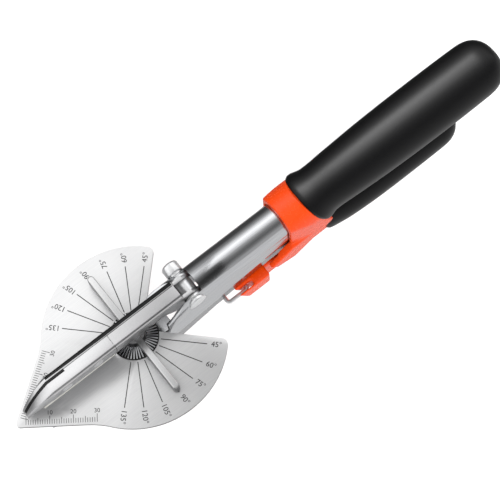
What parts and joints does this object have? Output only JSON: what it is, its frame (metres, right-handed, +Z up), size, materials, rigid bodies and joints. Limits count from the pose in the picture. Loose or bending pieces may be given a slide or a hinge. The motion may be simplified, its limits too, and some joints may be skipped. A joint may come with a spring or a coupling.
{
  "type": "multi-angle mitre shear",
  "caption": "Hand-held mitre shear for trim: a lever blade cuts down on a protractor plate with a swinging fence; tubular arm, two gripped handles, pivot bolt and wire latch.",
  "frame": {"origin": "on the flat underside of the lower jaw, straight below the protractor's centre", "axes": "+X towards the handles, +Y towards the pivot bolt's head, +Z up, square to the protractor plate"},
  "size_m": [0.2617, 0.08, 0.0504],
  "materials": {
    "bright_steel": "polished and plated",
    "brushed_stainless": "finely brushed",
    "satin_steel": "satin",
    "blade_steel": "ground",
    "fastener_steel": "zinc plated",
    "spring_steel": "drawn wire",
    "cast_aluminium": "as cast",
    "white_nylon": "moulded",
    "orange_plastic": "glossy moulded",
    "black_grip": "satin moulded"
  },
  "bodies": {
    "frame": {"frame_arm": "bright_steel", "protractor_plate": "brushed_stainless", "plate_screws": "fastener_steel", "jaw_block": "cast_aluminium", "jaw_block_pins": "fastener_steel", "anvil_strip": "white_nylon", "index_ring": "bright_steel", "pivot_bolt": "bright_steel", "pivot_nut": "fastener_steel", "pivot_spacers": "fastener_steel", "spring_cup": "fastener_steel", "upper_handle_core": "orange_plastic", "upper_handle_pins": "fastener_steel", "upper_grip": "black_grip"},
    "lever": {"blade_lever": "satin_steel", "jaw_cover": "satin_steel", "blade": "blade_steel", "blade_clamps": "fastener_steel", "clamp_screws": "fastener_steel", "pivot_bushing": "bright_steel", "spring_seat": "fastener_steel", "return_spring": "spring_steel", "lower_handle_core": "orange_plastic", "lower_handle_pins": "fastener_steel", "lower_grip": "black_grip"},
    "latch": {"latch_bail": "bright_steel"},
    "fence": {"fence_bar": "satin_steel", "fence_screw": "fastener_steel", "fence_washer": "fastener_steel", "spring_washer": "spring_steel", "fence_nut": "fastener_steel", "detent_balls": "fastener_steel", "detent_springs": "spring_steel"}
  },
  "joints": [
    {"name": "main_pivot", "type": "hinge", "parent": "frame", "child": "lever", "pos_m": [0.029, 0, 0.0324], "axis": [0, 1, 0], "range_deg": [0, 25], "deforming": ["return_spring"]},
    {"name": "latch_swing", "type": "hinge", "parent": "lever", "child": "latch", "pos_m": [0.053, 0, 0.006], "axis": [0, 1, 0], "range_deg": [0, 22]},
    {"name": "fence_swing", "type": "hinge", "parent": "frame", "child": "fence", "pos_m": [0, 0, 0.022], "axis": [0, 0, 1], "range_deg": [-45, 45]}
  ]
}
